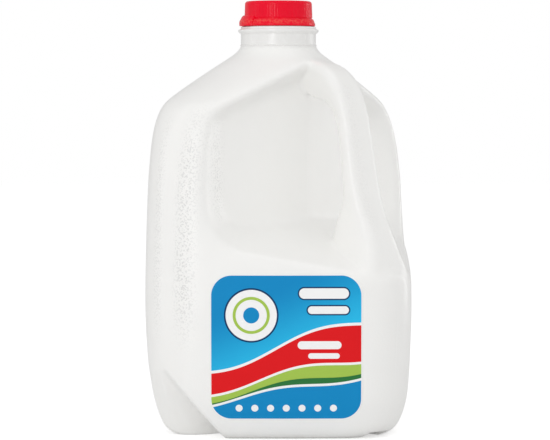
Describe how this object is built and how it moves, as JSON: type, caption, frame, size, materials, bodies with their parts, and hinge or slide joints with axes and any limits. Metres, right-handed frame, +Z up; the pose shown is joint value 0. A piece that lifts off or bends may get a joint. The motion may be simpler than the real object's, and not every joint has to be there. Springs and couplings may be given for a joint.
{
  "type": "milk jug",
  "caption": "Plastic milk jug with a square body, a handle moulded in over one corner, a scoop for the hand on each side of it, a snap cap and a label; shut and full.",
  "frame": {"origin": "on the floor, under the neck's axis, in the middle of the base", "axes": "+Z up along the neck, -Y out of the face with the label, and the handle over the corner between +X and -Y"},
  "size_m": [0.1568, 0.1574, 0.254],
  "materials": {
    "hdpe": "translucent natural polyethylene, satin, with a fine orange-peel grain",
    "milk": "white liquid, modelled as a solid",
    "cap_red": "satin red polyethylene",
    "label_film": null
  },
  "bodies": {
    "root": {"jug_bottle": "hdpe", "milk": "milk", "cap": "cap_red", "label": "label_film"}
  },
  "joints": []
}
